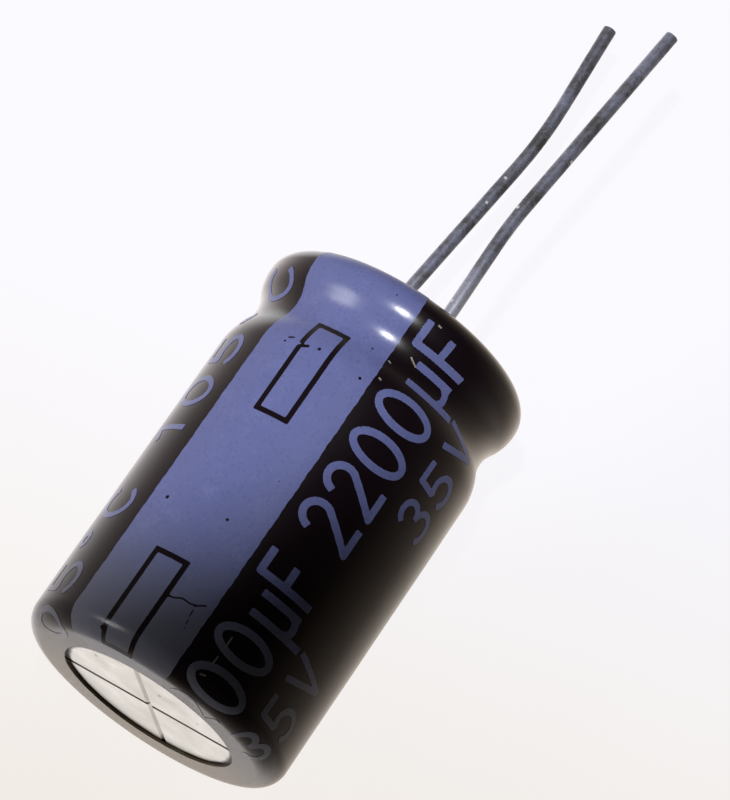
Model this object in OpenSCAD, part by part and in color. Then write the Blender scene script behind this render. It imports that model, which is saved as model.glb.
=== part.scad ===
// Radial electrolytic capacitor, 16 x 25 mm can with a heat-shrunk sleeve.
// It stands on its closed, vented end, with +Z towards the leads and the leads on the X axis.

/* [Can] */
// Outer diameter of the aluminium can
can_d = 16; // [14:0.5:20]
// Height of the can over its curled rim
can_h = 25.5; // [24:0.1:36]
// Thickness of the drawn wall
can_wall = 0.3; // [0.25:0.05:0.4]
// Thickness of the closed end
base_t = 0.4; // [0.35:0.05:0.6]
// Outer radius of the closed end's corner
corner_r = 1.1; // [0.8:0.1:1.6]
// Distance from the top of the rim down to the rolled groove
groove_drop = 3.6; // [3.6:0.1:4.6]
// Radius of the roller that forms the groove
groove_r = 1.6; // [1.4:0.05:1.7]
// Depth of the rolled groove
groove_depth = 1.2; // [0.9:0.05:1.3]
// How much wider the can is above the groove, on the radius
neck_out = 0.07; // [-0.1:0.01:0.1]
// Outer radius of the curled rim
curl_r = 1.0; // [0.8:0.05:1.1]
// Length of the rim's edge that bites into the seal
curl_tip = 0.3; // [0.1:0.05:0.5]

/* [Vent] */
// Length of each of the two crossed vent scores
vent_length = 11; // [7:0.2:11]
// Width of a score at the surface
vent_w = 0.34; // [0.2:0.02:0.5]
// Angle of the first score from the X axis
vent_angle = 48; // [0:1:90]

/* [Sleeve] */
// Thickness of the shrunk film
sleeve_t = 0.2; // [0.15:0.05:0.3]
// How far the sleeve reaches in over the closed end, from the can's wall
foot_lap = 2.6; // [2:0.1:3.4]
// How far the sleeve reaches in over the rim, from the can's wall
top_lap = 1.4; // [1.3:0.1:1.8]
// Depth to which the film sinks over the groove
dip_depth = 0.63; // [0.4:0.01:0.7]
// Radius of the sunk film
dip_r = 2.6; // [2.4:0.1:2.9]
// Radius with which the film turns into the groove from below
dip_low_r = 3.4; // [2.4:0.1:3.6]
// Radius with which it turns out to the rim above
dip_high_r = 2.2; // [1.6:0.1:2.2]

/* [Seal] */
// Thickness of the rubber seal, up to its face inside the rim
seal_h = 5.7; // [5.2:0.1:6.2]
// Distance between the two leads
lead_pitch = 7.5; // [6.5:0.1:7.8]
// Diameter of the round lugs that pass through the seal
lug_d = 2.4; // [1.8:0.1:2.6]
// Depth of the lug's top below the seal's face
lug_drop = 1.2; // [0.8:0.1:1.8]
// Length of lug that stands below the seal
lug_tail = 0.7; // [0.5:0.1:0.8]

/* [Winding] */
// Radius of the hollow core
core_r = 1.5; // [1.2:0.1:1.8]
// Number of whole turns
turns = 21; // [17:1:21]
// Thickness of the anode foil
anode_t = 0.1; // [0.08:0.01:0.1]
// Thickness of the cathode foil
cathode_t = 0.05; // [0.03:0.01:0.05]
// Thickness of each separator paper
paper_t = 0.05; // [0.04:0.01:0.05]
// Thickness of the closing tape
tape_t = 0.06; // [0.04:0.01:0.1]
// Space left between the winding and the lugs above it
winding_gap = 0.3; // [0.2:0.05:0.6]
// How far the papers reach past the anode foil at each end
anode_inset = 0.8; // [0.4:0.1:1.2]
// How far the papers reach past the cathode foil at each end
cathode_inset = 0.5; // [0.2:0.1:1]
// Thickness of the flattened tabs
tab_t = 0.25; // [0.2:0.01:0.3]
// Width of the flattened tabs
tab_w = 2.4; // [1.6:0.1:2.6]
// How far the tabs stop short of the winding's foot
tab_inset = 2; // [1:0.1:4]

/* [Leads] */
// Diameter of the tinned wire
wire_d = 0.8; // [0.6:0.05:1]
// Radius of the wires' bends
bend_r = 30; // [10:1:40]
// Length of the anode lead below its first bend, from the lug's top
anode_foot = 3.2; // [2.5:0.1:7]
// Lean of the anode lead
anode_lean_angle = 6.5; // [0:0.5:12]
// Length of the leaning stretch
anode_mid = 9.6; // [5:0.1:12]
// Lean of the anode lead's end
anode_end_angle = -2.8; // [-8:0.1:8]
// Length of the anode lead's end
anode_end = 5.7; // [4:0.1:10]
// Length of the cathode lead below its first bend, from the lug's top
cathode_foot = 2.7; // [2.5:0.1:6]
// Lean of the cathode lead below its curve
cathode_lean_angle = -0.5; // [-6:0.5:6]
// Length of that stretch
cathode_mid = 5.5; // [3:0.1:8]
// Lean of the cathode lead's end
cathode_end_angle = 5.8; // [0:0.1:10]
// Length of the cathode lead's end
cathode_end = 13.6; // [8:0.1:16]
// Direction in which both leads lean, from the X axis
lean_azimuth_angle = 68; // [0:1:180]

/* [Print] */
// Thickness of the ink
ink_t = 0.03; // [0.02:0.01:0.05]
// How far the ink stays off the flat foot
ink_clear = 0.4; // [0.4:0.1:1]
// Middle of the polarity stripe, from the X axis
stripe_at_angle = -47.3; // [-90:0.1:0]
// Width of the stripe round the can, in degrees
stripe_angle = 50; // [30:1:60]
// Distance after which the print repeats
print_repeat = 15.7; // [13.5:0.1:18]
// Height of the lower end of the upper minus mark
minus_z = 15.2; // [14:0.1:16]
// Length of a minus mark
minus_length = 6.3; // [4:0.1:8]
// Width of a minus mark
minus_w = 2.3; // [1.5:0.1:3]
// Width of its outline
minus_line = 0.3; // [0.2:0.02:0.5]
// Middle of the minus marks, from the X axis
minus_angle = -47.5; // [-90:0.5:0]

/* [Hidden] */
$fn = 96;

// Radii and heights of the can
can_r = can_d / 2;
neck_r = can_r + neck_out;
can_z = sleeve_t;
foot_open_r = can_r - foot_lap;
top_open_r = neck_r - top_lap;
top_z = can_z + can_h;
curl_z = top_z - curl_r;
groove_z = top_z - groove_drop;
groove_x = can_r - groove_depth + groove_r;
// Sizes that take a cut well past the face that it opens, and past the whole can
past = can_wall;
reach = can_d + can_h;

// The seal sits on the groove's bead and ends at the foot of the curl
seal_face_z = curl_z;
seal_z = seal_face_z - seal_h;
lug_top_z = seal_face_z - lug_drop;
lug_z = seal_z - lug_tail;

// The winding fills the can from its closed end up to the lugs
winding_z = can_z + base_t + 0.1;
winding_h = lug_z - winding_gap - winding_z;
fit_gap = 0.02;
tab_gap = tab_t + 2 * fit_gap;
turn_t = anode_t + cathode_t + 2 * paper_t;
anode_at = paper_t;
outer_paper_at = paper_t + anode_t;
cathode_at = outer_paper_at + paper_t;
hair = 0.001;

// Each bend of a wire laps its straight stretches by this angle, so that they are one solid
bend_lap = 0.2;
// Bending thins the wire by this much
bend_thin = 0.01;

// Each tab lies against the outside of its foil, in the turn that is nearest below its lug
tab_turn = floor((lead_pitch / 2 - core_r - tab_gap / 2) / turn_t);
cathode_gap_at = tab_turn * turn_t;
anode_gap_at = (tab_turn - 0.5) * turn_t + outer_paper_at;

// Where a strip crosses the X axis on its plus and its minus side, at a depth into the winding
function opened(depth, gap_at) = depth + (depth > gap_at - hair ? tab_gap : 0);
function plus_x(turn, at) = core_r + opened(turn * turn_t + at, cathode_gap_at);
function minus_x(turn, at) = core_r + opened((turn + 0.5) * turn_t + at, anode_gap_at);

// The film's outline, moved out by grow from the can
function blend_rise(edge_r, depth) = sqrt(pow(edge_r + dip_r, 2) - pow(edge_r + dip_r - depth, 2));

module wrapped(grow) {
    low_z = groove_z - blend_rise(dip_low_r, dip_depth);
    high_z = groove_z + blend_rise(dip_high_r, dip_depth + neck_out);
    dip_x = can_r - dip_depth + dip_r;
    difference() {
        union() {
            translate([0, can_z + corner_r]) square([can_r + grow, groove_z - can_z - corner_r]);
            translate([0, groove_z]) square([neck_r + grow, curl_z - groove_z]);
            translate([0, can_z - grow]) square([can_r - corner_r, corner_r + grow]);
            translate([can_r - corner_r, can_z + corner_r]) circle(corner_r + grow);
            translate([0, curl_z]) square([neck_r - curl_r, curl_r + grow]);
            translate([neck_r - curl_r, curl_z]) circle(curl_r + grow);
        }
        difference() {
            union() {
                polygon([[can_r - dip_low_r, low_z], [dip_x, groove_z], [neck_r - dip_high_r, high_z],
                    [reach, high_z], [reach, low_z]]);
                translate([dip_x, groove_z]) circle(dip_r - grow + hair);
            }
            translate([can_r - dip_low_r, low_z]) circle(dip_low_r + grow);
            translate([neck_r - dip_high_r, high_z]) circle(dip_high_r + grow);
        }
        translate([-reach, -reach]) square([reach, 3 * reach]);
    }
}

module film(inner, outer) {
    difference() {
        wrapped(outer);
        wrapped(inner);
        translate([0, -reach]) square([foot_open_r, reach + groove_z]);
        translate([0, groove_z]) square([top_open_r, reach]);
    }
}

module sleeve() {
    color("#1c1418") rotate_extrude() film(0, sleeve_t);
}

// Section of the drawn can, with its rolled groove and curled rim
module can_section() {
    difference() {
        intersection() {
            union() {
                translate([0, can_z]) square([can_r - corner_r, base_t]);
                difference() {
                    translate([can_r - corner_r, can_z + corner_r]) circle(corner_r);
                    translate([can_r - corner_r, can_z + corner_r]) circle(corner_r - can_wall);
                    translate([0, can_z + corner_r]) square([reach, reach]);
                    translate([can_r - corner_r - reach, 0]) square([reach, reach]);
                }
                translate([can_r - can_wall, can_z + corner_r]) square([can_wall, groove_z - can_z - corner_r]);
                translate([groove_x, groove_z]) circle(groove_r + can_wall);
                translate([neck_r - can_wall, groove_z]) square([can_wall, curl_z - groove_z]);
                difference() {
                    translate([neck_r - curl_r, curl_z]) circle(curl_r);
                    translate([neck_r - curl_r, curl_z]) circle(curl_r - can_wall);
                    translate([0, curl_z - reach]) square([reach, reach]);
                }
                translate([neck_r - 2 * curl_r, curl_z - curl_tip]) square([can_wall, curl_tip]);
            }
            wrapped(0);
        }
        translate([groove_x, groove_z]) circle(groove_r);
    }
}

// One pressed score, a groove with sloping sides across the closed end
module vent_score(angle) {
    rotate([0, 0, angle]) translate([0, 0, can_z]) rotate([45, 0, 0])
        cube([vent_length, vent_w / sqrt(2), vent_w / sqrt(2)], center = true);
}

module can() {
    color("#b9b4ae") difference() {
        rotate_extrude() can_section();
        vent_score(vent_angle);
        vent_score(vent_angle + 90);
    }
}

// Rubber seal, squeezed by the groove and by the curled rim
module end_seal() {
    color("#26241f") difference() {
        rotate_extrude() difference() {
            union() {
                translate([0, seal_z]) square([can_r - can_wall, groove_z - seal_z]);
                translate([0, groove_z]) square([neck_r - can_wall, seal_face_z - groove_z]);
                difference() {
                    translate([neck_r - curl_r, curl_z]) circle(curl_r - can_wall);
                    translate([0, curl_z - reach]) square([reach, reach]);
                }
            }
            translate([groove_x, groove_z]) circle(groove_r + can_wall);
            translate([neck_r - 2 * curl_r, curl_z - curl_tip]) square([can_wall, curl_tip]);
        }
        for (side = [-1, 1]) translate([side * lead_pitch / 2, 0, 0]) {
            translate([0, 0, seal_z - past]) cylinder(h = lug_top_z - seal_z + past, d = lug_d);
            translate([0, 0, lug_top_z - past]) cylinder(h = lug_drop + 2 * past, d = wire_d);
        }
    }
}

// Half of one turn: a half ring whose ends lie on the X axis
module half_turn(right, left, thickness, upper) {
    translate([(right - left) / 2, 0]) intersection() {
        difference() {
            circle((right + left) / 2 + thickness);
            circle((right + left) / 2);
        }
        translate([-reach, upper ? 0 : -reach]) square([2 * reach, reach]);
    }
}

// A wound strip, one solid from its first turn to its last
module strip(at, thickness, inset, first, last) {
    translate([0, 0, winding_z + inset]) linear_extrude(winding_h - 2 * inset)
        for (turn = [first:last]) {
            half_turn(plus_x(turn, at), minus_x(turn, at), thickness, true);
            half_turn(plus_x(turn + 1, at), minus_x(turn, at), thickness, false);
        }
}

module separator_inner() {
    color("#d8d0b8") strip(0, paper_t, 0, 0, turns - 1);
}

module anode_foil() {
    color("#8f9092") strip(anode_at, anode_t, anode_inset, 0, turns - 1);
}

module separator_outer() {
    color("#d8d0b8") strip(outer_paper_at, paper_t, 0, 0, turns - 1);
}

module cathode_foil() {
    color("#c3c5c8") strip(cathode_at, cathode_t, cathode_inset, 0, turns - 1);
}

module winding_tape() {
    color("#c9a25e") strip(0, tape_t, anode_inset, turns, turns);
}

// Round lug in the seal, pressed flat below it into a tab that lies against its foil
module lug_and_tab(side, gap_at) {
    tab_r = core_r + gap_at + fit_gap;
    tab_z = winding_z + tab_inset;
    translate([side * lead_pitch / 2, 0, lug_z]) cylinder(h = lug_top_z - lug_z, d = lug_d);
    translate([0, 0, tab_z]) intersection() {
        difference() {
            cylinder(h = lug_z - tab_z, r = tab_r + tab_t);
            translate([0, 0, -past]) cylinder(h = lug_z - tab_z + 2 * past, r = tab_r);
        }
        translate([side > 0 ? 0 : -reach, -tab_w / 2, 0]) cube([reach, tab_w, lug_z - tab_z]);
    }
}

module anode_tab() {
    color("#aeb1b5") lug_and_tab(-1, anode_gap_at);
}

module cathode_tab() {
    color("#aeb1b5") lug_and_tab(1, cathode_gap_at);
}

// A bend by an angle, towards +X where it is positive, with what follows it as children
module bend(angle) {
    side = angle < 0 ? -1 : 1;
    size = abs(angle);
    if (size > 0) rotate([0, 0, side < 0 ? 180 : 0]) translate([bend_r, 0, 0]) rotate([90, 0, 0])
        rotate_extrude(angle = size + 2 * bend_lap, start = 180 - size - bend_lap)
            translate([bend_r, 0]) circle(d = wire_d - bend_thin, $fn = 48);
    translate([side * bend_r * (1 - cos(size)), 0, bend_r * sin(size)]) rotate([0, angle, 0]) children();
}

module wire(side, foot, lean, mid, end_lean, end) {
    translate([side * lead_pitch / 2, 0, lug_top_z]) rotate([0, 0, lean_azimuth_angle]) {
        cylinder(h = foot, d = wire_d, $fn = 48);
        translate([0, 0, foot]) bend(lean) {
            cylinder(h = mid, d = wire_d, $fn = 48);
            translate([0, 0, mid]) bend(end_lean - lean) cylinder(h = end, d = wire_d, $fn = 48);
        }
    }
}

module anode_lead() {
    color("#8b8a8c") wire(-1, anode_foot, anode_lean_angle, anode_mid, anode_end_angle, anode_end);
}

module cathode_lead() {
    color("#8b8a8c") wire(1, cathode_foot, cathode_lean_angle, cathode_mid, cathode_end_angle, cathode_end);
}

// Ink over the film, between two azimuths
module ink_field(from, sweep) {
    rotate([0, 0, from]) rotate_extrude(angle = sweep) difference() {
        film(sleeve_t, sleeve_t + ink_t);
        translate([0, -reach]) square([can_r - corner_r + ink_clear, reach + can_z + corner_r]);
    }
}

// The outline of a minus mark, standing out from the axis at its azimuth
module minus_outline(low_z) {
    rotate([0, 0, minus_angle]) translate([0, 0, low_z]) difference() {
        translate([0, -minus_w / 2, 0]) cube([reach, minus_w, minus_length]);
        translate([-past, -minus_w / 2 + minus_line, minus_line])
            cube([reach + 2 * past, minus_w - 2 * minus_line, minus_length - 2 * minus_line]);
    }
}

module polarity_stripe() {
    color("#7478b4") difference() {
        ink_field(stripe_at_angle - stripe_angle / 2, stripe_angle);
        for (copy = [0, 1]) minus_outline(minus_z - copy * print_repeat);
    }
}

sleeve();
can();
end_seal();
anode_foil();
cathode_foil();
separator_inner();
separator_outer();
winding_tape();
anode_tab();
cathode_tab();
anode_lead();
cathode_lead();
polarity_stripe();
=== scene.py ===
import math

import bpy
import numpy as np
from mathutils import Matrix, Vector


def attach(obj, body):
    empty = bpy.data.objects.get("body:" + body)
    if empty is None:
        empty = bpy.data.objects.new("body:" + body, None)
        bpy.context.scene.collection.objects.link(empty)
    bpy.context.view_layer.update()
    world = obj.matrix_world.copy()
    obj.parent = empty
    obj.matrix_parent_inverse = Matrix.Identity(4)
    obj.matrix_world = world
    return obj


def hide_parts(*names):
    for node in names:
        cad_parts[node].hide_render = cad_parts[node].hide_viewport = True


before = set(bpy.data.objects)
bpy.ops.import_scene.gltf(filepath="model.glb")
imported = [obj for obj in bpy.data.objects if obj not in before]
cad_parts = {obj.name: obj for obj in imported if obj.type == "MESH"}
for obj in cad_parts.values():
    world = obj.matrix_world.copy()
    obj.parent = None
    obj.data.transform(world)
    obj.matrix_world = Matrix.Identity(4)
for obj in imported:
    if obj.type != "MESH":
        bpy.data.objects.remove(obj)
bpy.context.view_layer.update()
mm = 0.001
scene = bpy.context.scene
print("frame loaded")

# Camera, fitted to the outlines of the can
view = {
    "place": (0.205004, -0.082827, -0.054957),  # metres, in the part's own frame
    "aim": (0.000089, 0.000220, 0.021505),      # where its axis passes the can's axis
    "rollDegrees": 34.58,
    "focalLength": 189.4,
    "sensorWidth": 36.0,
    "clipStart": 0.01,
}


def aimedMatrix(place, aim, rollDegrees=0.0):
    # looks from place to aim, turned about that line
    look = (Vector(aim) - Vector(place)).normalized()
    levelRight = look.cross(Vector((0, 0, 1))).normalized()
    levelUp = levelRight.cross(look)
    roll = math.radians(rollDegrees)
    up = math.cos(roll) * levelUp - math.sin(roll) * levelRight
    right = look.cross(up)
    turned = Matrix((right, up, -look)).transposed().to_4x4()
    return Matrix.Translation(Vector(place)) @ turned


cameraData = bpy.data.cameras.new("photoCamera")
cameraData.lens = view["focalLength"]
cameraData.sensor_width = view["sensorWidth"]
cameraData.clip_start = view["clipStart"]
camera = bpy.data.objects.new("photoCamera", cameraData)
camera.matrix_world = aimedMatrix(view["place"], view["aim"], view["rollDegrees"])
scene.collection.objects.link(camera)
scene.camera = camera
scene.view_settings.view_transform = "Standard"
print("camera placed")


# Small helpers for meshes, colours and node trees

def addMesh(name, points, faces, sharpDegrees):
    mesh = bpy.data.meshes.new(name)
    mesh.from_pydata([tuple(p) for p in points], [], faces)
    mesh.validate()
    mesh.shade_smooth()
    mesh.set_sharp_from_angle(angle=math.radians(sharpDegrees))
    piece = bpy.data.objects.new(name, mesh)
    scene.collection.objects.link(piece)
    return piece


def srgb(red, green, blue):
    # a colour written in 0 to 255 as the screen shows it
    linear = []
    for part in (red, green, blue):
        part = part / 255
        linear.append(part / 12.92 if part <= 0.04045 else ((part + 0.055) / 1.055) ** 2.4)
    return (*linear, 1.0)


def connect(tree, node, inputs):
    # links each socket and sets each plain value
    for key, value in inputs.items():
        if isinstance(value, bpy.types.NodeSocket):
            tree.links.new(value, node.inputs[key])
        else:
            node.inputs[key].default_value = value


def addNode(tree, kind, inputs, **settings):
    node = tree.nodes.new(kind)
    for key, value in settings.items():
        setattr(node, key, value)
    connect(tree, node, inputs)
    return node


def calculate(tree, operation, *values):
    node = addNode(tree, "ShaderNodeMath", dict(enumerate(values)), operation=operation)
    return node.outputs["Value"]


def remap(tree, value, fromRange, toRange=(0.0, 1.0), smooth=True):
    # carries a value from one range to another and stops at both ends
    node = addNode(tree, "ShaderNodeMapRange", {
        "Value": value, "From Min": fromRange[0], "From Max": fromRange[1],
        "To Min": toRange[0], "To Max": toRange[1],
    }, interpolation_type="SMOOTHSTEP" if smooth else "LINEAR")
    return node.outputs["Result"]


def mixColors(tree, share, first, second, blendType="MIX"):
    node = addNode(tree, "ShaderNodeMix", {"Factor": share, "A": first, "B": second},
                   data_type="RGBA", blend_type=blendType)
    return node.outputs["Result"]


def reachAlong(tree, vector, direction):
    # how far a point, or a ray, goes in a direction
    node = addNode(tree, "ShaderNodeVectorMath", {0: vector, 1: direction}, operation="DOT_PRODUCT")
    return node.outputs["Value"]


def lengthOf(tree, vector):
    return addNode(tree, "ShaderNodeVectorMath", {0: vector}, operation="LENGTH").outputs["Value"]


def heightOf(tree, vector):
    return addNode(tree, "ShaderNodeSeparateXYZ", {"Vector": vector}).outputs["Z"]


def addNoise(tree, vector, scale, detail=2.0, roughness=0.5):
    node = addNode(tree, "ShaderNodeTexNoise", {
        "Vector": vector, "Scale": scale, "Detail": detail, "Roughness": roughness})
    return node.outputs["Fac"]


def objectPoint(tree):
    return addNode(tree, "ShaderNodeTexCoord", {}).outputs["Object"]


# Shared effects, built once as node groups

def newGroup(name, inputs, outputs):
    group = bpy.data.node_groups.new(name, "ShaderNodeTree")
    for label, kind, value in inputs:
        socket = group.interface.new_socket(name=label, in_out="INPUT", socket_type=kind)
        socket.default_value = value
    for label, kind in outputs:
        group.interface.new_socket(name=label, in_out="OUTPUT", socket_type=kind)
    start = group.nodes.new("NodeGroupInput")
    end = group.nodes.new("NodeGroupOutput")
    return group, start.outputs, end


def placeGroup(tree, group, values):
    return addNode(tree, "ShaderNodeGroup", values, node_tree=group)


mottleShape = {
    "cloudDetail": 4.0,
    "cloudRoughness": 0.6,
    "grainDetail": 2.0,
    "colorRange": (0.35, 0.85),      # of cloud and grain together
    "roughnessRange": (0.3, 0.7),    # of the cloud alone
}


def buildMottle():
    # cloudy colour, fine grain and a matching roughness, for film, ink, metal, rubber and paper
    group, given, end = newGroup("mottle", [
        ("Color", "NodeSocketColor", (0.5, 0.5, 0.5, 1)),
        ("Second Color", "NodeSocketColor", (0.4, 0.4, 0.4, 1)),
        ("Cloud Scale", "NodeSocketFloat", 400.0),
        ("Grain Scale", "NodeSocketFloat", 5000.0),
        ("Grain Amount", "NodeSocketFloat", 0.3),
        ("Low Roughness", "NodeSocketFloat", 0.2),
        ("High Roughness", "NodeSocketFloat", 0.3),
    ], [("Color", "NodeSocketColor"), ("Roughness", "NodeSocketFloat"), ("Height", "NodeSocketFloat")])
    point = objectPoint(group)
    cloud = addNoise(group, point, given["Cloud Scale"],
                     mottleShape["cloudDetail"], mottleShape["cloudRoughness"])
    grain = addNoise(group, point, given["Grain Scale"], mottleShape["grainDetail"])
    height = calculate(group, "ADD", cloud, calculate(group, "MULTIPLY", grain, given["Grain Amount"]))
    share = remap(group, height, mottleShape["colorRange"], smooth=False)
    connect(group, end, {
        "Color": mixColors(group, share, given["Color"], given["Second Color"]),
        "Roughness": remap(group, cloud, mottleShape["roughnessRange"],
                           (given["Low Roughness"], given["High Roughness"]), smooth=False),
        "Height": height})
    return group


def buildDust():
    # scattered small specks of one size, as a mask
    group, given, end = newGroup("dust", [
        ("Scale", "NodeSocketFloat", 900.0),
        ("Size", "NodeSocketFloat", 0.12),
        ("Share", "NodeSocketFloat", 0.08),
    ], [("Mask", "NodeSocketFloat")])
    cells = addNode(group, "ShaderNodeTexVoronoi", {"Vector": objectPoint(group), "Scale": given["Scale"]})
    chance = addNode(group, "ShaderNodeSeparateColor", {"Color": cells.outputs["Color"]}).outputs["Red"]
    near = calculate(group, "LESS_THAN", cells.outputs["Distance"], given["Size"])
    picked = calculate(group, "LESS_THAN", chance, given["Share"])
    connect(group, end, {"Mask": calculate(group, "MULTIPLY", near, picked)})
    return group


mottle = buildMottle()
dust = buildDust()
print("shared effects ready")


def mottledMaterial(name, values):
    # the finish that every material starts from; more can be laid over its colour
    material = bpy.data.materials.new(name)
    material.use_nodes = True
    tree = material.node_tree
    shader = tree.nodes["Principled BSDF"]
    look = placeGroup(tree, mottle, {
        "Color": values["color"], "Second Color": values["secondColor"],
        "Cloud Scale": values["cloudScale"], "Grain Scale": values["grainScale"],
        "Grain Amount": values["grainAmount"],
        "Low Roughness": values["roughness"][0], "High Roughness": values["roughness"][1]})
    bump = addNode(tree, "ShaderNodeBump", {
        "Height": look.outputs["Height"], "Strength": values["bump"], "Distance": values["bumpDepth"]})
    connect(tree, shader, {
        "Base Color": look.outputs["Color"], "Roughness": look.outputs["Roughness"],
        "Normal": bump.outputs["Normal"], "Metallic": values["metallic"]})
    return material, tree, shader, look


def speckMask(tree, specks):
    # where the specks lie, as strongly as they show
    scattered = placeGroup(tree, dust, {
        "Scale": specks["scale"], "Size": specks["size"], "Share": specks["share"]})
    return calculate(tree, "MULTIPLY", scattered.outputs["Mask"], specks["strength"])


def addSpecks(tree, color, specks):
    return mixColors(tree, speckMask(tree, specks), color, specks["color"])


# The sleeve's surface: an outline that the film and every ink print follow

film = {
    "sideRadius": 8.172,       # mm, a hair inside the CAD sleeve so that the ink stays in its box
    "thickness": 0.17,
    "footZ": 0.028,
    "footOpening": 5.4,
    "footUneven": (0.025, 0.015),   # the lip at the closed end is a little out of round
    "cornerRadius": 1.272,
    "grooveZ": 22.1,
    "grooveDepth": 0.63,
    "grooveRadius": 2.428,
    "lowEdgeRadius": 3.572,    # the film's turn into the groove from below
    "highEdgeRadius": 2.372,   # and out of it to the rim
    "neckRise": 0.07,          # the rim stands out a little
    "rimRadius": 1.172,        # the shoulder over the can's curled rim
    "topZ": 25.872,
    "topOpening": 6.7,
    "arcStepDegrees": 3.0,
    "straightStep": 0.55,
    "turnSteps": 240,
    "ripple": 0.006,           # height of the shrunk film's slow waves
    "sharpDegrees": 60,
}


def filmOutline():
    # points from the lip at the closed end to the lip at the seal end, in mm
    side = film["sideRadius"]
    neck = side + film["neckRise"]
    corner = film["cornerRadius"]
    lowEdge = film["lowEdgeRadius"]
    highEdge = film["highEdgeRadius"]
    hollow = film["grooveRadius"]
    rim = film["rimRadius"]
    lowReach = lowEdge + hollow
    highReach = highEdge + hollow
    lowRise = math.sqrt(lowReach ** 2 - (lowReach - film["grooveDepth"]) ** 2)
    highRise = math.sqrt(highReach ** 2 - (highReach - film["grooveDepth"] - film["neckRise"]) ** 2)
    lowTurn = math.degrees(math.asin(lowRise / lowReach))
    highTurn = math.degrees(math.asin(highRise / highReach))
    points = [(film["footOpening"], film["footZ"])]

    def line(r, z):
        r0, z0 = points[-1]
        count = max(1, round(math.hypot(r - r0, z - z0) / film["straightStep"]))
        for i in range(1, count + 1):
            points.append((r0 + (r - r0) * i / count, z0 + (z - z0) * i / count))

    def arc(r, z, radius, start, stop):
        count = max(2, round(abs(stop - start) / film["arcStepDegrees"]))
        for i in range(1, count + 1):
            turn = math.radians(start + (stop - start) * i / count)
            points.append((r + radius * math.cos(turn), z + radius * math.sin(turn)))

    line(side - corner, film["footZ"])
    arc(side - corner, film["footZ"] + corner, corner, -90, 0)
    line(side, film["grooveZ"] - lowRise)
    arc(side - lowEdge, film["grooveZ"] - lowRise, lowEdge, 0, lowTurn)
    arc(side - film["grooveDepth"] + hollow, film["grooveZ"], hollow, 180 + lowTurn, 180 - highTurn)
    arc(neck - highEdge, film["grooveZ"] + highRise, highEdge, -highTurn, 0)
    line(neck, film["topZ"] - rim)
    arc(neck - rim, film["topZ"] - rim, rim, 0, 90)
    line(film["topOpening"], film["topZ"])
    return np.array(points)


outline = filmOutline()
outlineSteps = np.hypot(*np.diff(outline, axis=0).T)
# the path along the outline is measured so that it equals z on the straight side
outlinePath = np.concatenate([[0], np.cumsum(outlineSteps)])
sideStart = int(np.argmax(outline[:, 0] >= film["sideRadius"] - 1e-6))
outlinePath = outlinePath - outlinePath[sideStart] + outline[sideStart, 1]
tangents = np.gradient(outline, outlinePath, axis=0)
tangents /= np.hypot(*tangents.T)[:, None]
outlineNormals = np.stack([tangents[:, 1], -tangents[:, 0]], axis=1)


def ripples(turn, path):
    # slow waves of the shrunk film, in mm, that only go inward
    waves = np.sin(3 * turn + 0.31 * path + 0.4) + 0.7 * np.sin(5 * turn - 0.83 * path + 2.1)
    waves += 0.5 * np.sin(11 * turn + 1.7 * path)
    highest = 1 + 0.7 + 0.5
    return film["ripple"] * (waves / highest - 1)


def onSleeve(turn, path, lift):
    # turn in radians, path and lift in mm; gives points in metres
    r = np.interp(path, outlinePath, outline[:, 0])
    z = np.interp(path, outlinePath, outline[:, 1])
    nr = np.interp(path, outlinePath, outlineNormals[:, 0])
    nz = np.interp(path, outlinePath, outlineNormals[:, 1])
    lift = lift + ripples(turn, path) * np.clip(nr, 0, 1)
    r = r + lift * nr
    z = z + lift * nz
    return np.stack([r * np.cos(turn), r * np.sin(turn), z], axis=-1) * mm


def buildFilm():
    # outer side up, then the inner side back down, as one closed skin
    count = film["turnSteps"]
    turns = np.arange(count) * 2 * math.pi / count
    paths = np.concatenate([outlinePath, outlinePath[::-1]])
    lifts = np.concatenate([np.zeros(len(outlinePath)), np.full(len(outlinePath), -film["thickness"])])
    turnGrid, pathGrid = np.meshgrid(turns, paths, indexing="ij")
    liftGrid = np.broadcast_to(lifts, turnGrid.shape)
    points = onSleeve(turnGrid, pathGrid, liftGrid)
    rows = len(paths)
    slow, quick = film["footUneven"]
    uneven = slow * np.sin(2 * turns + 0.6) + quick * np.sin(7 * turns)
    for row in (0, rows - 1):
        points[:, row, :2] *= (1 + uneven / film["footOpening"])[:, None]
    faces = []
    for i in range(count):
        j = (i + 1) % count
        for k in range(rows):
            n = (k + 1) % rows
            faces.append((i * rows + k, j * rows + k, j * rows + n, i * rows + n))
    return addMesh("shrink_film", points.reshape(-1, 3), faces, film["sharpDegrees"])


filmFinish = {
    "color": (0.0060, 0.0032, 0.0052, 1),
    "secondColor": (0.0040, 0.0022, 0.0036, 1),
    "roughness": (0.16, 0.22),
    "cloudScale": 260.0,
    "grainScale": 9000.0,
    "grainAmount": 0.2,
    "bump": 0.12,
    "bumpDepth": 0.00002,
    "metallic": 0.0,
    "ior": 1.5,
    "specks": {"scale": 800.0, "size": 0.07, "share": 0.05, "strength": 1.0,
               "color": (0.05, 0.045, 0.05, 1)},
    "lipHeights": (0.0001, 0.0004),       # metres; warm dust on the lip at the closed end, with a painted reflection that makes it lighter on one side
    "lipSheenSide": (-0.93, 0.37, 0),       # the side where the lip is painted lightest, a painted reflection over the dust
    "lipSheenReach": (-0.003, 0.005),
    "lipDustAndSheen": 1.2,
    "lipDustAndSheenColor": (0.23, 0.185, 0.13, 1),
    "coatHeights": (0.013, 0.0245),       # the film gets glossier towards the seal end
    "coat": 0.8,
    "coatRoughness": 0.2,
}


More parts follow.
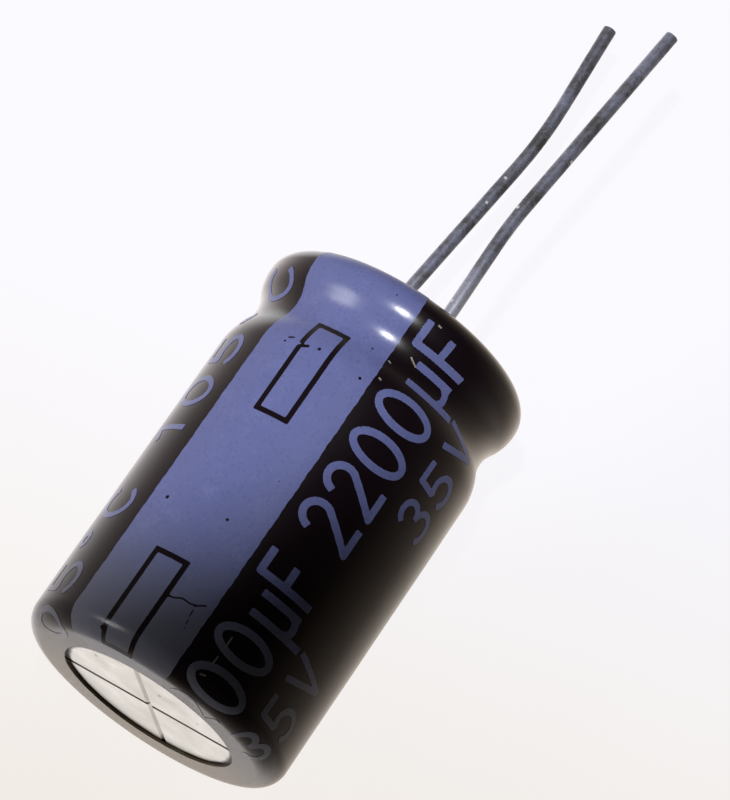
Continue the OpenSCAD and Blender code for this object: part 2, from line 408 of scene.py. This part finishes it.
def filmMaterial():
    material, tree, shader, look = mottledMaterial("glossyFilm", filmFinish)
    point = objectPoint(tree)
    height = heightOf(tree, point)
    color = addSpecks(tree, look.outputs["Color"], filmFinish["specks"])
    onLip = remap(tree, height, filmFinish["lipHeights"], (1.0, 0.0))
    # painted reflection: the dusty lip is lighter towards one side
    paintedSheen = remap(tree, reachAlong(tree, point, filmFinish["lipSheenSide"]), filmFinish["lipSheenReach"],
                    (0.0, filmFinish["lipDustAndSheen"]), smooth=False)
    lipDustAndSheen = calculate(tree, "MULTIPLY", onLip, paintedSheen)
    lipDustAndSheen = calculate(tree, "MULTIPLY", lipDustAndSheen, look.outputs["Height"])
    coat = remap(tree, height, filmFinish["coatHeights"], (0.0, filmFinish["coat"]), smooth=False)
    connect(tree, shader, {
        "Base Color": mixColors(tree, lipDustAndSheen, color, filmFinish["lipDustAndSheenColor"]),
        "IOR": filmFinish["ior"],
        "Coat Weight": coat,
        "Coat Roughness": filmFinish["coatRoughness"]})
    return material


filmPiece = buildFilm()
filmPiece.data.materials.append(filmMaterial())
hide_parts("sleeve")
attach(filmPiece, "root")
print("film shrunk on")


# Ink: thin closed shells cut along a distance field, laid on the sleeve

ink = {
    "gap": 0.004,             # mm between film and the underside of the ink
    "thickness": 0.016,
    "sharpDegrees": 40,
    "pathMargin": 0.1,        # mm of empty cells past the ends of a print
    "turnMargin": 0.5,        # and degrees past its sides
    "far": 9.0,               # mm, further than any edge that counts
}
mmPerDegree = math.radians(1) * film["sideRadius"]   # round the can


def cutCells(depth, across, along):
    # cuts a grid of cells along the line where depth is zero; gives the points and polygons inside it
    points = []
    known = {}

    def corner(i, j):
        key = (i, j)
        if key not in known:
            known[key] = len(points)
            points.append((across[i], along[j]))
        return known[key]

    def crossing(i, j, m, n):
        key = (min(i, m), min(j, n), "across" if j == n else "along")
        if key not in known:
            share = depth[i, j] / (depth[i, j] - depth[m, n])
            known[key] = len(points)
            points.append((across[i] + share * (across[m] - across[i]),
                           along[j] + share * (along[n] - along[j])))
        return known[key]

    polygons = []
    inside = depth < 0
    touched = inside[:-1, :-1] | inside[1:, :-1] | inside[:-1, 1:] | inside[1:, 1:]
    for i, j in np.argwhere(touched):
        cell = ((i, j), (i + 1, j), (i + 1, j + 1), (i, j + 1))
        polygon = []
        for here, after in zip(cell, cell[1:] + cell[:1]):
            if inside[here]:
                polygon.append(corner(*here))
            if inside[here] != inside[after]:
                polygon.append(crossing(*here, *after))
        polygons.append(polygon)
    return np.array(points), polygons


def openSides(polygons):
    # the sides that belong to one polygon only
    sides = {}
    for polygon in polygons:
        for a, b in zip(polygon, polygon[1:] + polygon[:1]):
            if (b, a) in sides:
                del sides[(b, a)]
            else:
                sides[(a, b)] = True
    return list(sides)


def inkShell(name, field, turnRange, pathRange, cell):
    # field(across, along) gives mm to the print's edge, negative inside; across is mm round the can
    radius = film["sideRadius"]
    left, right = [math.radians(turn) * radius for turn in turnRange]
    across = np.arange(left, right + cell, cell)
    along = np.arange(pathRange[0], pathRange[1] + cell, cell)
    depth = field(*np.meshgrid(across, along, indexing="ij"))
    depth = np.where(np.abs(depth) < 1e-6, 1e-6, depth)   # so that no edge runs through a cell's corner
    points, polygons = cutCells(depth, across, along)
    turns = points[:, 0] / radius
    top = onSleeve(turns, points[:, 1], ink["gap"] + ink["thickness"])
    under = onSleeve(turns, points[:, 1], ink["gap"])
    count = len(points)
    faces = [tuple(polygon) for polygon in polygons]
    faces += [tuple(v + count for v in reversed(polygon)) for polygon in polygons]
    faces += [(b, a, a + count, b + count) for a, b in openSides(polygons)]
    piece = addMesh(name, np.concatenate([top, under]), faces, ink["sharpDegrees"])
    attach(piece, "root")
    return piece


def boxField(across, along, a0, a1, s0, s1):
    overAcross = np.maximum(a0 - across, across - a1)
    overAlong = np.maximum(s0 - along, along - s1)
    return np.maximum(overAcross, overAlong)


def lineField(across, along, corners):
    # distance in mm to a bent line whose corners are in degrees and mm
    best = np.full(across.shape, ink["far"])
    for (d0, s0), (d1, s1) in zip(corners[:-1], corners[1:]):
        a0, a1 = d0 * mmPerDegree, d1 * mmPerDegree
        span = (a1 - a0) ** 2 + (s1 - s0) ** 2
        share = np.clip(((across - a0) * (a1 - a0) + (along - s0) * (s1 - s0)) / span, 0, 1)
        best = np.minimum(best, np.hypot(across - a0 - share * (a1 - a0), along - s0 - share * (s1 - s0)))
    return best


# The broad stripe with its minus marks and its wear

stripe = {
    "fromDegrees": -72.3,
    "toDegrees": -22.3,
    "lowPath": -2.1,           # mm along the sleeve
    "highPath": 26.9,
    "repeat": 15.7,            # mm from one set of marks and figures to the next
    "markDegrees": -47.3,
    "markWidth": 2.26,
    "markLow": 15.15,
    "markLength": 6.4,
    "markLine": 0.32,
    "wobble": (0.015, 0.01),   # mm by which its long edges wander, slowly and quickly
    "cell": 0.08,
    # bare specks: degrees round the can, mm up it, radius in mm
    "specks": [(-26.6, 19.54, 0.1), (-46.2, 19.85, 0.11), (-61, 19.5, 0.08), (-64.3, 8.6, 0.12),
               (-37.4, 8.9, 0.1), (-55.4, 0.5, 0.13), (-33, 24.9, 0.06), (-58.5, 14.1, 0.05),
               (-29.6, 12.2, 0.05)],
    # scratches through the ink: corners of a line in degrees and mm, then its half width in mm
    "scratches": [
        ([(-40.5, 3.66), (-37.4, 3.72), (-34.3, 3.94), (-31.0, 3.9), (-28.6, 3.99), (-25.4, 4.28)], 0.052),
        ([(-28.9, 3.95), (-28.2, 3.2), (-27.4, 2.6)], 0.035),
        ([(-54.4, 19.52), (-50.9, 19.72)], 0.1),
        ([(-60.6, 19.78), (-58.4, 19.9)], 0.06),
    ],
    # a spot where the mark's outline is smudged over with ink
    "smudge": [(-56.4, 19.55), (-54.6, 19.62)],
    "smudgeHalf": 0.12,
}


def stripeField(across, along):
    slow, quick = stripe["wobble"]
    wobble = slow * np.sin(3.1 * along + 1) + quick * np.sin(9.7 * along)
    left = stripe["fromDegrees"] * mmPerDegree + wobble
    right = stripe["toDegrees"] * mmPerDegree + wobble
    gap = boxField(across, along, left, right, stripe["lowPath"], stripe["highPath"])
    middle = stripe["markDegrees"] * mmPerDegree
    half = stripe["markWidth"] / 2
    line = stripe["markLine"]
    for copy in (0, 1):
        low = stripe["markLow"] - copy * stripe["repeat"]
        high = low + stripe["markLength"]
        outer = boxField(across, along, middle - half, middle + half, low, high)
        inner = boxField(across, along, middle - half + line, middle + half - line, low + line, high - line)
        gap = np.maximum(gap, -np.maximum(outer, -inner))
    gap = np.minimum(gap, lineField(across, along, stripe["smudge"]) - stripe["smudgeHalf"])
    for degrees, path, radius in stripe["specks"]:
        gap = np.maximum(gap, radius - np.hypot(across - degrees * mmPerDegree, along - path))
    for corners, halfWidth in stripe["scratches"]:
        gap = np.maximum(gap, halfWidth - lineField(across, along, corners))
    return gap


stripePiece = inkShell(
    "polarity_ink", stripeField,
    (stripe["fromDegrees"] - ink["turnMargin"], stripe["toDegrees"] + ink["turnMargin"]),
    (stripe["lowPath"] - ink["pathMargin"], stripe["highPath"] + ink["pathMargin"]), stripe["cell"])
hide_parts("polarity_stripe")


# Strokes of a plain narrow alphabet, in heights of one letter

def curveStroke(x, y, rx, ry, start, stop, count):
    turns = [math.radians(start + (stop - start) * i / count) for i in range(count + 1)]
    return [(x + rx * math.cos(t), y + ry * math.sin(t)) for t in turns]


# each letter stands in a box 1 high and 1 wide, drawn along the middle of its strokes
glyphs = {
    "0": [curveStroke(0.5, 0.5, 0.5, 0.45, 0, 360, 32)],
    "1": [[(0.1, 0.76), (0.55, 0.95), (0.55, 0.05)]],
    "2": [curveStroke(0.5, 0.72, 0.48, 0.23, 165, -25, 14) + [(0.04, 0.06), (1.0, 0.06)]],
    "3": [curveStroke(0.46, 0.735, 0.46, 0.215, 150, -80, 12),
          curveStroke(0.46, 0.285, 0.54, 0.235, 82, -150, 14)],
    "5": [[(0.96, 0.94), (0.14, 0.94), (0.08, 0.56)] + curveStroke(0.46, 0.32, 0.54, 0.26, 125, -150, 14)],
    "F": [[(1.0, 0.95), (0.0, 0.95), (0.0, 0.03)], [(0.0, 0.52), (0.85, 0.52)]],
    "V": [[(0.0, 0.97), (0.52, 0.04), (1.04, 0.97)]],
    "C": [curveStroke(0.55, 0.5, 0.55, 0.45, 42, 318, 26)],
    "deg": [curveStroke(0.5, 0.82, 0.42, 0.13, 0, 360, 20)],
    "u": [[(0.0, 0.72), (0.0, -0.2)],
          [(0.0, 0.3)] + curveStroke(0.45, 0.22, 0.45, 0.17, 180, 360, 12) + [(0.9, 0.72)],
          [(0.9, 0.72), (0.9, 0.05)]],
}

lettering = {
    "lowPath": -1.7,           # mm along the sleeve between which letters are printed
    "highPath": 26.0,
    "roomAbove": 0.5,          # mm of cells past the top and the foot of the letters
    "roomBelow": 2.0,
    "endCap": 0.2,             # how far a stroke runs on past its end, in stroke widths
    "waver": 0.012,            # mm by which its edge wavers
    "cell": 0.07,
}
# starts and widths are mm along the can; the foot of the letters is in degrees round it
rating = {
    "word": ["2", "2", "0", "0", "u", "F"],
    "starts": [11.05, 13.48, 15.95, 18.52, 21.2, 23.3],
    "widths": [1.62, 1.62, 1.66, 1.66, 1.36, 1.4],
    "height": 3.82, "stroke": 0.44, "footDegrees": 8.9,
}
voltage = {
    "word": ["3", "5", "V"],
    "starts": [14.85, 17.2, 19.75],
    "widths": [1.5, 1.5, 1.5],
    "height": 2.95, "stroke": 0.38, "footDegrees": 37.2,
}
heat = {
    "word": ["1", "0", "5", "deg", "C"],
    "starts": [11.9, 14.5, 17.4, 20.4, 22.5],
    "widths": [1.8, 1.8, 1.8, 1.0, 1.8],
    "height": 2.9, "stroke": 0.36, "footDegrees": -80.2,
}


def wordStrokes(style, shift):
    # straight bits of a word that reads towards the leads; shift moves the whole word along the can
    bits = []
    foot = style["footDegrees"] * mmPerDegree
    for letter, start, width in zip(style["word"], style["starts"], style["widths"]):
        for line in glyphs[letter]:
            path = [(foot - y * style["height"], start + shift + x * width) for x, y in line]
            last = len(path) - 2
            loose = path[0] != path[-1]
            for k in range(len(path) - 1):
                bits.append((*path[k], *path[k + 1], k == 0 and loose, k == last and loose))
    return bits


def wordField(style, shift):
    bits = wordStrokes(style, shift)
    cap = style["stroke"] * lettering["endCap"]

    def field(across, along):
        best = np.full(across.shape, ink["far"])
        for a0, s0, a1, s1, starts, ends in bits:
            da, ds = a1 - a0, s1 - s0
            length = math.hypot(da, ds)
            run = ((across - a0) * da + (along - s0) * ds) / length
            near = np.clip(run, 0, length)
            gap = np.hypot(across - a0 - da * near / length, along - s0 - ds * near / length)
            gap = gap - style["stroke"] / 2
            if starts:
                gap = np.maximum(gap, -run - cap)
            if ends:
                gap = np.maximum(gap, run - length - cap)
            best = np.minimum(best, gap)
        return best + lettering["waver"] * np.sin(23 * across + 5) * np.sin(19 * along)

    return field


def wordPiece(name, style):
    fields = [wordField(style, copy * stripe["repeat"]) for copy in (-1, 0, 1)]
    low, high = lettering["lowPath"], lettering["highPath"]

    def printed(across, along):
        joined = np.minimum.reduce([field(across, along) for field in fields])
        return np.maximum(joined, np.maximum(low - along, along - high))

    turnRange = (style["footDegrees"] - (style["height"] + lettering["roomAbove"]) / mmPerDegree,
                 style["footDegrees"] + lettering["roomBelow"] / mmPerDegree)
    pathRange = (low - ink["pathMargin"], high + ink["pathMargin"])
    return inkShell(name, printed, turnRange, pathRange, lettering["cell"])


# Pale scuffs in the film, most of them beside the stripe, some of them painted glints

scuffsAndGlints = {
    # corners of a line in degrees and mm, then its half width in mm
    # the dashes from 20 to 25 mm up are scratches painted as bright as their glints, and the one at the
    # stripe's foot corner is a painted glint
    "lines": [
        ([(-11.0, 3.71), (-11.0, 3.08)], 0.045), ([(-11.3, 2.41), (-11.5, 1.9)], 0.045),
        ([(-13.1, 1.1), (-11.2, 1.18)], 0.05), ([(-14.5, 22.5), (-10.8, 22.22)], 0.045),
        ([(-13.3, 24.8), (-12.2, 24.78)], 0.05), ([(-20.6, 20.2), (-19.8, 20.16)], 0.05),
        ([(-21.4, 21.55), (-20.2, 21.5)], 0.035), ([(-51.2, 0.84), (-46.6, 0.88)], 0.07),
    ],
    "turnRange": (-52.0, -9.5),
    "pathRange": (0.6, 25.2),
    "cell": 0.035,
}


def scuffAndGlintField(across, along):
    gaps = [lineField(across, along, corners) - halfWidth for corners, halfWidth in scuffsAndGlints["lines"]]
    return np.minimum.reduce(gaps)


scuffAndGlintPiece = inkShell("pale_scuffsAndGlints", scuffAndGlintField, scuffsAndGlints["turnRange"], scuffsAndGlints["pathRange"], scuffsAndGlints["cell"])
ratingPiece = wordPiece("rating_figures", rating)
voltagePiece = wordPiece("voltage_figures", voltage)
heatPiece = wordPiece("temperature_figures", heat)

inkFinish = {
    "roughness": (0.2, 0.27),
    "cloudScale": 700.0,
    "grainScale": 7000.0,
    "grainAmount": 0.7,
    "bump": 0.15,
    "bumpDepth": 0.00002,
    "metallic": 0.0,
    "ior": 1.4,
    "coarseSpecks": {"scale": 900.0, "size": 0.1, "share": 0.025, "strength": 1.0},
    "fineSpecks": {"scale": 4200.0, "size": 0.42, "share": 0.35, "strength": 0.14},
    "speckShade": 0.4,                    # of the second colour
    "paintedShadeHeights": (0.0085, 0.0015),    # metres; towards the closed end the ink is painted a darker, duller grey as painted shade
    "paintedShade": 0.7,
    "paintedShadeColor": (0.085, 0.09, 0.11, 1),
}
stripeInk = {**inkFinish, "color": srgb(98, 104, 150), "secondColor": srgb(86, 92, 138)}
paleScuffAndGlint = {**inkFinish, "color": srgb(158, 154, 146), "secondColor": srgb(118, 115, 110)}


def inkMaterial(name, values):
    material, tree, shader, look = mottledMaterial(name, values)
    specks = calculate(tree, "MAXIMUM", speckMask(tree, values["coarseSpecks"]),
                       speckMask(tree, values["fineSpecks"]))
    speckColor = (*(part * values["speckShade"] for part in values["secondColor"][:3]), 1)
    speckled = mixColors(tree, specks, look.outputs["Color"], speckColor)
    height = heightOf(tree, objectPoint(tree))
    # painted shade: the ink darkens to grey towards the closed end
    paintedShade = remap(tree, height, values["paintedShadeHeights"], (0.0, values["paintedShade"]))
    connect(tree, shader, {
        "Base Color": mixColors(tree, paintedShade, speckled, values["paintedShadeColor"]),
        "IOR": values["ior"]})
    return material


printedInk = inkMaterial("stripeInk", stripeInk)
for piece in (stripePiece, ratingPiece, voltagePiece, heatPiece):
    piece.data.materials.append(printedInk)
scuffAndGlintPiece.data.materials.append(inkMaterial("paleScuffAndGlint", paleScuffAndGlint))
print("ink printed")


# Finishes of the CAD pieces that stay

plainFinish = {
    "cloudScale": 900.0,
    "grainScale": 9000.0,
    "grainAmount": 0.4,
    "bumpDepth": 0.00005,
    "metallic": 0.0,
}
foil = {
    **plainFinish, "color": (0.5, 0.5, 0.5, 1), "secondColor": (0.4, 0.4, 0.4, 1),
    "roughness": (0.5, 0.7), "metallic": 1.0, "bump": 0.2,
}
paper = {
    **plainFinish, "color": (0.68, 0.6, 0.45, 1), "secondColor": (0.6, 0.52, 0.38, 1),
    "roughness": (0.7, 0.9), "bump": 0.3,
}
tape = {
    **plainFinish, "color": (0.6, 0.36, 0.1, 1), "secondColor": (0.5, 0.3, 0.08, 1),
    "roughness": (0.2, 0.35), "bump": 0.1,
}
rubber = {
    **plainFinish, "color": (0.022, 0.021, 0.02, 1), "secondColor": (0.03, 0.028, 0.026, 1),
    "roughness": (0.5, 0.7), "grainScale": 5000.0, "bump": 0.3,
}

tinnedWire = {
    **plainFinish, "color": (0.44, 0.47, 0.66, 1), "secondColor": (0.11, 0.108, 0.115, 1),
    "roughness": (0.24, 0.4), "metallic": 0.6, "cloudScale": 520.0, "grainScale": 3800.0, "bump": 0.25,
    "paintedHighlightHeights": (0.032, 0.027),       # metres; the wire is painted lighter near the can, a painted highlight
    "paintedHighlight": 0.6,
    "paintedHighlightColor": (0.75, 0.77, 0.95, 1),
    "pits": {"scale": 4200.0, "size": 0.3, "share": 0.35, "strength": 0.3, "color": (0.05, 0.05, 0.06, 1)},
    # bright flecks are painted glints of the tin
    "glintFlecks": {"scale": 2600.0, "size": 0.28, "share": 0.06, "strength": 0.8, "color": (0.95, 0.96, 1.0, 1)},
}


def tinnedMaterial():
    # dull tinned steel with dark pits, bright flecks painted as glints, and a painted highlight near the can
    material, tree, shader, look = mottledMaterial("leadMetal", tinnedWire)
    height = heightOf(tree, objectPoint(tree))
    # painted highlight: lighter and bluer near the can
    paintedHighlight = remap(tree, height, tinnedWire["paintedHighlightHeights"], (0.0, tinnedWire["paintedHighlight"]))
    color = mixColors(tree, paintedHighlight, look.outputs["Color"], tinnedWire["paintedHighlightColor"])
    color = addSpecks(tree, color, tinnedWire["pits"])
    color = addSpecks(tree, color, tinnedWire["glintFlecks"])
    connect(tree, shader, {"Base Color": color})
    return material


drawnCan = {
    **plainFinish, "color": (0.91, 0.92, 0.91, 1), "secondColor": (0.80, 0.81, 0.79, 1),
    "roughness": (0.25, 0.4), "metallic": 1.0, "cloudScale": 500.0, "grainScale": 6000.0, "bump": 0.1,
    "lipShadeRadii": (0.00515, 0.0054),        # metres; painted shade darkens the metal where the film's lip meets it
    "waveScale": 900.0,
    "waveDepth": 0.0003,
    "spots": {"scale": 1500.0, "size": 0.16, "share": 0.05, "strength": 0.6},
    # the dark of both the painted shade at the lip and the grimy spots
    "shadeAndGrimeColor": (0.012, 0.011, 0.014, 1),
}


def canMaterial():
    # drawn aluminium with an uneven line of painted shade along the film's lip and a few grimy spots
    material, tree, shader, look = mottledMaterial("canMetal", drawnCan)
    point = objectPoint(tree)
    flat = addNode(tree, "ShaderNodeVectorMath", {0: point, 1: (1, 1, 0)}, operation="MULTIPLY")
    radius = lengthOf(tree, flat.outputs["Vector"])
    waves = addNoise(tree, point, drawnCan["waveScale"])
    wavyRadius = calculate(tree, "MULTIPLY_ADD", waves, drawnCan["waveDepth"], radius)
    # painted shade: a dark line along the film's lip
    lipShadeLine = remap(tree, wavyRadius, drawnCan["lipShadeRadii"])
    shadeAndGrime = calculate(tree, "MAXIMUM", lipShadeLine, speckMask(tree, drawnCan["spots"]))
    color = mixColors(tree, shadeAndGrime, look.outputs["Color"], drawnCan["shadeAndGrimeColor"])
    connect(tree, shader, {"Base Color": color})
    return material


canMetal = canMaterial()
leadMetal = tinnedMaterial()
foilMetal = mottledMaterial("foilMetal", foil)[0]
paperLook = mottledMaterial("paperLook", paper)[0]
tapeLook = mottledMaterial("tapeLook", tape)[0]
sealRubber = mottledMaterial("sealRubber", rubber)[0]

finishes = {
    "can": canMetal, "end_seal": sealRubber, "anode_foil": foilMetal, "cathode_foil": foilMetal,
    "separator_inner": paperLook, "separator_outer": paperLook, "winding_tape": tapeLook,
    "anode_tab": foilMetal, "cathode_tab": foilMetal, "anode_lead": leadMetal, "cathode_lead": leadMetal,
}
for name, material in finishes.items():
    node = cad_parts[name]
    node.data.materials.clear()
    node.data.materials.append(material)
print("finishes set")


# Table and floor: seen by the camera from their front only, so they never block light or another view

stage = {
    "tableTurnDegrees": 145.2,            # the table lies against the can's side in this direction
    "tableDistance": 8.2,                 # mm from the can's axis
    "tableMiddleZ": 20.0,
    "size": 0.6,                          # metres
    "tableFade": 0.12,                    # metres from its middle to where it has faded out
    "floorFade": 0.15,
    "fadeStart": 0.4,                     # as a share of that
    # painted shade: the paper glows warmer and dimmer away from the cool side
    "warmShadeTones": (srgb(245, 240, 235), srgb(242, 236, 229)),
    "coolTone": srgb(249, 248, 253),
    "coolDirection": (0.34, -0.46, 0.82),
    "coolReach": (-0.012, 0.022),
    "cloudScale": 60.0,
    "cloudDetail": 3.0,
    "paperColor": (0.03, 0.03, 0.03, 1),
    "glow": 0.98,
}


def stageMaterial(name, fadeRadius):
    # a glow in the paper's tone, painted warmer and dimmer away from the cool side as soft shade, and a
    # little real scatter that takes the object's shadow
    material = bpy.data.materials.new(name)
    material.use_nodes = True
    tree = material.node_tree
    tree.nodes.clear()
    surface = addNode(tree, "ShaderNodeNewGeometry", {}).outputs
    cameraRay = addNode(tree, "ShaderNodeLightPath", {}).outputs["Is Camera Ray"]
    front = calculate(tree, "SUBTRACT", 1.0, surface["Backfacing"])
    distance = lengthOf(tree, objectPoint(tree))
    fade = remap(tree, distance, (fadeRadius * stage["fadeStart"], fadeRadius), (1.0, 0.0))
    shown = calculate(tree, "MULTIPLY", calculate(tree, "MULTIPLY", front, cameraRay), fade)
    clouds = addNoise(tree, surface["Position"], stage["cloudScale"], stage["cloudDetail"])
    # painted shade: warmer, dimmer tones away from the cool direction
    warm = mixColors(tree, clouds, *stage["warmShadeTones"])
    cool = remap(tree, reachAlong(tree, surface["Position"], stage["coolDirection"]), stage["coolReach"])
    tone = mixColors(tree, cool, warm, stage["coolTone"])
    scatter = addNode(tree, "ShaderNodeBsdfDiffuse", {"Color": stage["paperColor"]})
    glow = addNode(tree, "ShaderNodeEmission", {"Color": tone, "Strength": stage["glow"]})
    both = addNode(tree, "ShaderNodeAddShader", {0: scatter.outputs[0], 1: glow.outputs[0]})
    clear = addNode(tree, "ShaderNodeBsdfTransparent", {})
    mixed = addNode(tree, "ShaderNodeMixShader", {0: shown, 1: clear.outputs[0], 2: both.outputs[0]})
    addNode(tree, "ShaderNodeOutputMaterial", {"Surface": mixed.outputs[0]})
    return material


def stagePlane(name, matrix, material):
    half = stage["size"] / 2
    corners = [(-half, -half, 0), (half, -half, 0), (half, half, 0), (-half, half, 0)]
    mesh = bpy.data.meshes.new(name)
    mesh.from_pydata(corners, [], [(0, 1, 2, 3)])
    mesh.materials.append(material)
    plane = bpy.data.objects.new(name, mesh)
    plane.matrix_world = matrix
    scene.collection.objects.link(plane)


def tableMatrix():
    # upright beside the can, with its front towards the can's axis
    turn = math.radians(stage["tableTurnDegrees"])
    outward = Vector((math.cos(turn), math.sin(turn), 0))
    along = Vector((0, 0, 1))
    facing = Matrix((along, outward.cross(along), -outward)).transposed().to_4x4()
    middle = outward * stage["tableDistance"] * mm + along * stage["tableMiddleZ"] * mm
    return Matrix.Translation(middle) @ facing


stagePlane("tableTop", tableMatrix(), stageMaterial("tableWhite", stage["tableFade"]))
stagePlane("standingFloor", Matrix.Identity(4), stageMaterial("floorWhite", stage["floorFade"]))
print("table and floor placed")


# World: white to the camera, a ground that gets brighter the way the camera looks to gloss,
# and soft light from three sides to surfaces that scatter

studio = {
    # share of the turn from facing the camera to looking its way, and the level there
    "glossStops": ((0.0, 0.01), (0.25, 0.01), (0.38, 0.06), (0.585, 0.22), (0.75, 0.4), (0.86, 0.72),
                   (0.95, 0.92), (1.0, 1.0)),
    "glossStrength": 1.25,
    "rightReach": (-0.22, 0.12),          # the upper ground to the right of the can is dimmer and warmer
    "upReach": (-0.25, -0.05),
    "plainTint": (1.0, 0.97, 1.0, 1),
    "rightTint": (0.68, 0.62, 0.55, 1),
    "lowTint": (0.943, 0.954, 0.924, 1),  # what the closed end mirrors is a little dimmer
    "patchDirection": (-0.682, -0.245, 0.69),   # a pale patch high on the left, for the rim's shoulder
    "patchReach": (0.93, 1.0),
    "white": (1.0, 1.0, 1.0, 1),
    "fillColor": (1, 0.9, 0.66, 1),
    "backdrop": srgb(250, 249, 254),
}
# soft light from the left, from below and from the white table
fills = [
    {"direction": (-0.288, -0.942, -0.174), "reach": (0.6, 1.0), "levels": (0.004, 1.1), "smooth": True},
    {"direction": (0, 0, -1), "reach": (0.8, 1.0), "levels": (0.0, 1.3), "smooth": False},
    {"direction": (-0.821, 0.571, 0), "reach": (0.1, 0.6), "levels": (0.0, 1.3), "smooth": True},
]


def warmGrey(level):
    # warmer where it is darker
    dark = 1 - level
    return (level, level * (0.975 - 0.12 * dark), level * (0.96 - 0.2 * dark), 1)


def mirroredGround(tree, ray):
    look = (Vector(view["aim"]) - Vector(view["place"])).normalized()
    right = Vector((0, 0, 1)).cross(-look).normalized()
    share = remap(tree, reachAlong(tree, ray, tuple(look)), (-1.0, 1.0), smooth=False)
    ramp = addNode(tree, "ShaderNodeValToRGB", {"Fac": share})
    elements = ramp.color_ramp.elements
    for index, (place, level) in enumerate(studio["glossStops"]):
        element = elements[index] if index < 2 else elements.new(place)   # a new ramp has two
        element.position = place
        element.color = warmGrey(level)
    rightShare = remap(tree, reachAlong(tree, ray, tuple(right)), studio["rightReach"])
    upShare = remap(tree, heightOf(tree, ray), studio["upReach"])
    tint = mixColors(tree, calculate(tree, "MULTIPLY", rightShare, upShare),
                     studio["plainTint"], studio["rightTint"])
    lowTint = mixColors(tree, upShare, studio["lowTint"], studio["white"])
    ground = mixColors(tree, 1.0, ramp.outputs["Color"], tint, "MULTIPLY")
    ground = mixColors(tree, 1.0, ground, lowTint, "MULTIPLY")
    patchShare = remap(tree, reachAlong(tree, ray, studio["patchDirection"]), studio["patchReach"])
    return mixColors(tree, patchShare, ground, studio["white"])


def fillLevel(tree, ray):
    level = 0.0
    for fill in fills:
        reach = reachAlong(tree, ray, fill["direction"])
        light = remap(tree, reach, fill["reach"], fill["levels"], fill["smooth"])
        level = calculate(tree, "ADD", light, level)
    return level


def buildWorld():
    world = bpy.data.worlds.new("studio")
    scene.world = world
    world.use_nodes = True
    tree = world.node_tree
    tree.nodes.clear()
    ray = addNode(tree, "ShaderNodeTexCoord", {}).outputs["Generated"]
    path = addNode(tree, "ShaderNodeLightPath", {}).outputs
    gloss = addNode(tree, "ShaderNodeBackground", {
        "Color": mirroredGround(tree, ray), "Strength": studio["glossStrength"]})
    fill = addNode(tree, "ShaderNodeBackground", {
        "Color": studio["fillColor"], "Strength": fillLevel(tree, ray)})
    white = addNode(tree, "ShaderNodeBackground", {"Color": studio["backdrop"], "Strength": 1.0})
    unseen = addNode(tree, "ShaderNodeMixShader", {
        0: path["Is Glossy Ray"], 1: fill.outputs[0], 2: gloss.outputs[0]})
    mixed = addNode(tree, "ShaderNodeMixShader", {
        0: path["Is Camera Ray"], 1: unseen.outputs[0], 2: white.outputs[0]})
    addNode(tree, "ShaderNodeOutputWorld", {"Surface": mixed.outputs[0]})


buildWorld()
print("world lit")


# Lamps: a key near the camera, whose cone ends near the closed end, and a faint soft lamp close to the
# can on the stripe's side

lamps = {
    "key": {
        "kind": "SPOT", "place": (0.2148, -0.1400, -0.0030), "aim": (-0.0164, -0.0399, 0.0504),
        "watts": 2.7, "radius": 0.0045, "coneDegrees": 26.84, "blend": 0.01,
    },
    "window": {
        "kind": "AREA", "place": (0.0104, -0.0664, -0.0080), "aim": (0.0047, -0.0067, 0.0240),
        "watts": 0.0014, "width": 0.030, "height": 0.034, "spreadDegrees": 42,
    },
}


def addLamp(name, values):
    data = bpy.data.lights.new(name, values["kind"])
    data.energy = values["watts"]
    if values["kind"] == "SPOT":
        data.shadow_soft_size = values["radius"]
        data.spot_size = math.radians(values["coneDegrees"])
        data.spot_blend = values["blend"]
    else:
        data.shape = "ELLIPSE"
        data.size = values["width"]
        data.size_y = values["height"]
        data.spread = math.radians(values["spreadDegrees"])
    lamp = bpy.data.objects.new(name, data)
    lamp.matrix_world = aimedMatrix(values["place"], values["aim"])
    scene.collection.objects.link(lamp)


for name, values in lamps.items():
    addLamp(name, values)
print("lamps lit")
